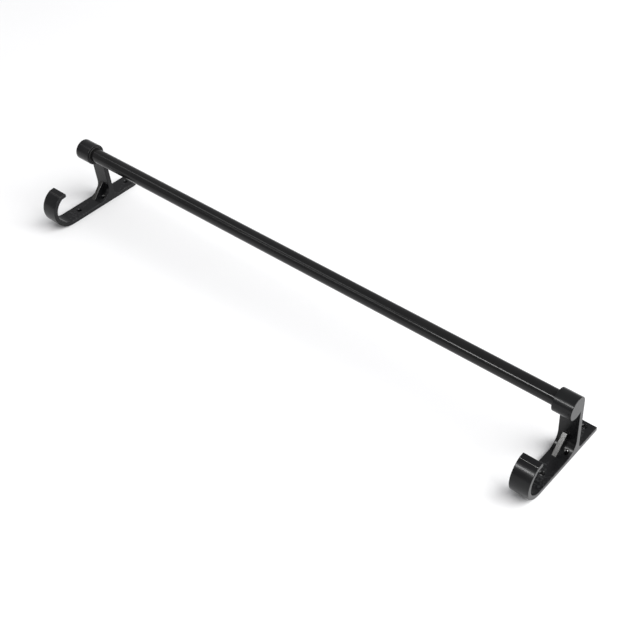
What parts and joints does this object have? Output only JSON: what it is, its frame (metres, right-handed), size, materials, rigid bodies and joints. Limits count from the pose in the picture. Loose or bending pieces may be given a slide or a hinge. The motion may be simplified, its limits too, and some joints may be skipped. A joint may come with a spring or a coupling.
{
  "type": "curtain rod with brackets",
  "caption": "Straight round curtain rod held in blind sockets between two wall brackets, each with a screw plate, a leaning arm and a J-hook.",
  "frame": {"origin": "on the wall plane, halfway between the two brackets and in the middle of their depth along the wall", "axes": "+X along the rod; +Z straight off the wall; +Y along the screw plates from the hooks to the plain ends, which is up in use"},
  "size_m": [0.619, 0.114, 0.0777],
  "materials": {
    "bracket": "cast aluminium with a black satin coating",
    "rod": "drawn aluminium tube with a smooth black gloss coating",
    "cup": "black moulded nylon"
  },
  "bodies": {
    "left_bracket_body": {"left_bracket": "bracket", "left_socket_cup": "cup"},
    "rod_body": {"rod_tube": "rod"},
    "right_bracket_body": {"right_bracket": "bracket", "right_socket_cup": "cup"}
  },
  "joints": [
    {"name": "rod_turn", "type": "hinge", "parent": "left_bracket_body", "child": "rod_body", "pos_m": [-0.29, 0.0105, 0.0665], "axis": [1, 0, 0], "continuous": true},
    {"name": "right_bracket_turn", "type": "hinge", "parent": "rod_body", "child": "right_bracket_body", "pos_m": [0.29, 0.0105, 0.0665], "axis": [1, 0, 0], "continuous": true}
  ]
}
